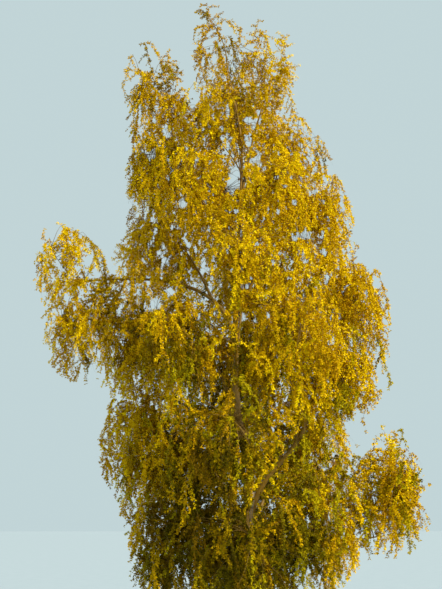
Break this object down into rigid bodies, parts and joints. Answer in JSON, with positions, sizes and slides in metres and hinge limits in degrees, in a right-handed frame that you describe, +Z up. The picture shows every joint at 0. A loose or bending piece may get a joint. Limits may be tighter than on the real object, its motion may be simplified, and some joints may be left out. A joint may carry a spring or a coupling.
{
  "type": "silver birch tree",
  "caption": "Tall weeping birch with a slender pale trunk, rising boughs and hanging sprays of yellow autumn leaves, fixed upright in level ground.",
  "frame": {"origin": "middle of the flat cut under the trunk, at ground level", "axes": "+Z up along the trunk; +X to the viewer's right and +Y away from the viewer in the picture's view"},
  "size_m": [11.1089, 7.5472, 19.9809],
  "materials": {
    "trunk_bark": "chalky white bark with dark marks, rough and fissured near the ground",
    "bough_bark": "smooth grey-brown bark, paler on the thicker boughs",
    "autumn_leaves": "thin, slightly glossy yellow leaves"
  },
  "bodies": {
    "root": {"trunk": "trunk_bark", "bough_upper_right_plume": "bough_bark", "bough_upper_left_spire": "bough_bark", "bough_left_shoulder": "bough_bark", "bough_front_left_high": "bough_bark", "bough_front_right_high": "bough_bark", "bough_back_high": "bough_bark", "bough_right_edge": "bough_bark", "bough_left_edge": "bough_bark", "bough_back_middle": "bough_bark", "bough_front_middle": "bough_bark", "bough_left_arm_upper": "bough_bark", "bough_left_arm_lower": "bough_bark", "bough_left_inner": "bough_bark", "bough_right_shoulder": "bough_bark", "bough_front_left_middle": "bough_bark", "bough_front_right_middle": "bough_bark", "bough_back_low_middle": "bough_bark", "bough_right_middle": "bough_bark", "bough_left_low": "bough_bark", "bough_back_left_low": "bough_bark", "bough_front_low": "bough_bark", "bough_back_right_low": "bough_bark", "bough_low_right_arm": "bough_bark", "bough_low_right_inner": "bough_bark", "bough_low_left": "bough_bark", "bough_low_back": "bough_bark", "foliage_crown_top": "autumn_leaves", "foliage_crown_top_right": "autumn_leaves", "foliage_upper_right_plume": "autumn_leaves", "foliage_upper_left_spire": "autumn_leaves", "foliage_upper_left_inner": "autumn_leaves", "foliage_upper_back": "autumn_leaves", "foliage_upper_front": "autumn_leaves", "foliage_left_shoulder": "autumn_leaves", "foliage_right_shoulder_high": "autumn_leaves", "foliage_front_left_high": "autumn_leaves", "foliage_front_right_high": "autumn_leaves", "foliage_back_high": "autumn_leaves", "foliage_right_edge": "autumn_leaves", "foliage_left_edge": "autumn_leaves", "foliage_back_middle": "autumn_leaves", "foliage_front_middle": "autumn_leaves", "foliage_left_arm_upper": "autumn_leaves", "foliage_left_arm_lower": "autumn_leaves", "foliage_left_inner": "autumn_leaves", "foliage_right_shoulder": "autumn_leaves", "foliage_front_left_middle": "autumn_leaves", "foliage_front_right_middle": "autumn_leaves", "foliage_back_low_middle": "autumn_leaves", "foliage_right_middle": "autumn_leaves", "foliage_left_low": "autumn_leaves", "foliage_back_left_low": "autumn_leaves", "foliage_front_low": "autumn_leaves", "foliage_back_right_low": "autumn_leaves", "foliage_low_right_arm": "autumn_leaves", "foliage_low_right_inner": "autumn_leaves", "foliage_low_left": "autumn_leaves", "foliage_low_back": "autumn_leaves", "foliage_low_front": "autumn_leaves"}
  },
  "joints": []
}
